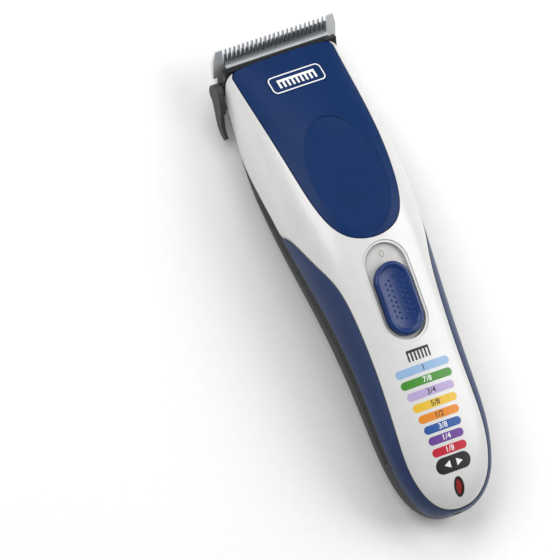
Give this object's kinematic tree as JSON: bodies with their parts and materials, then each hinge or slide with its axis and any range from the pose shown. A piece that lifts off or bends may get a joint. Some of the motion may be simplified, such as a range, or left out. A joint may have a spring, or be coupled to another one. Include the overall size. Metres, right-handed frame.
{
  "type": "hair clipper",
  "caption": "Cordless hair clipper with a waisted body, thumb slide switch, side taper lever and a wide toothed cutting head.",
  "frame": {"origin": "centre of the bounding box in plan, at the level of the rear face the clipper lies on", "axes": "+X to the right seen from the switch side, +Y towards the blade tips, +Z out of the switch side"},
  "size_m": [0.0524, 0.18, 0.0386],
  "materials": {
    "pearl_shell": "satin pearl",
    "navy_panel": "satin",
    "blue_band": "soft touch",
    "black_shell": "fine texture",
    "badge_enamel": "printed",
    "light_grey_plastic": "satin",
    "navy_button": "satin",
    "black_plastic": "satin",
    "red_lens": "clear red",
    "tinned_brass": "bright",
    "cell_jacket": "shrink sleeve",
    "board_laminate": "solder mask",
    "chip_black": "moulded",
    "motor_steel": "zinc plated",
    "magnet_grey": "sintered",
    "copper_winding": "enamelled wire",
    "blade_steel": "ground",
    "cutter_steel": "dark ground",
    "screw_steel": "zinc plated",
    "spring_steel": "drawn wire",
    "lever_grey": "fine texture"
  },
  "bodies": {
    "housing": {"front_shell": "pearl_shell", "front_panel": "navy_panel", "grip_band": "blue_band", "rear_shell": "black_shell", "badge_plate": "badge_enamel", "switch_track": "light_grey_plastic", "slide_switch": "black_plastic", "led_bezel": "black_plastic", "led_lens": "red_lens", "charge_socket": "black_plastic", "socket_tags": "tinned_brass", "battery_cells": "cell_jacket", "battery_straps": "tinned_brass", "battery_cradle": "black_plastic", "circuit_board": "board_laminate", "board_parts": "chip_black", "indicator_led": "red_lens", "motor_can": "motor_steel", "motor_end_cap": "light_grey_plastic", "motor_magnets": "magnet_grey", "motor_mount": "black_plastic", "motor_bracket": "motor_steel", "bracket_screws": "screw_steel", "housing_screws": "screw_steel"},
    "switch": {"switch_button": "navy_button"},
    "rotor": {"motor_shaft": "screw_steel", "armature": "copper_winding", "commutator": "tinned_brass", "drive_cam": "light_grey_plastic"},
    "blade_unit": {"blade_base": "black_plastic", "blade_screws": "screw_steel", "blade_springs": "spring_steel"},
    "lever": {"taper_lever": "lever_grey"},
    "lower_blade": {"fixed_blade": "blade_steel", "taper_link": "blade_steel"},
    "cutter": {"cutter_blade": "cutter_steel", "cutter_bar": "blade_steel", "cutter_yoke": "black_plastic"}
  },
  "joints": [
    {"name": "switch_slide", "type": "slide", "parent": "housing", "child": "switch", "axis": [0, 0.9948, 0.1023], "range_m": [0, 0.007]},
    {"name": "motor_spin", "type": "hinge", "parent": "housing", "child": "rotor", "pos_m": [0, 0.045, 0.015], "axis": [0, 1, 0], "continuous": true},
    {"name": "blade_release", "type": "slide", "parent": "housing", "child": "blade_unit", "axis": [0, 1, 0], "range_m": [0, 0.015]},
    {"name": "taper_lever", "type": "hinge", "parent": "blade_unit", "child": "lever", "pos_m": [-0.0236, 0.07714, 0.0125], "axis": [-1, 0, 0], "range_deg": [0, 28]},
    {"name": "blade_taper", "type": "slide", "parent": "blade_unit", "child": "lower_blade", "axis": [0, 0.6691, 0.7431], "range_m": [-0.00111, 0]},
    {"name": "cutter_slide", "type": "slide", "parent": "blade_unit", "child": "cutter", "axis": [1, 0, 0], "range_m": [-0.0012, 0.0012]}
  ],
  "couplings": [
    {"joint": "taper_lever", "follows": "blade_taper", "rad_per_m": -439.14}
  ]
}
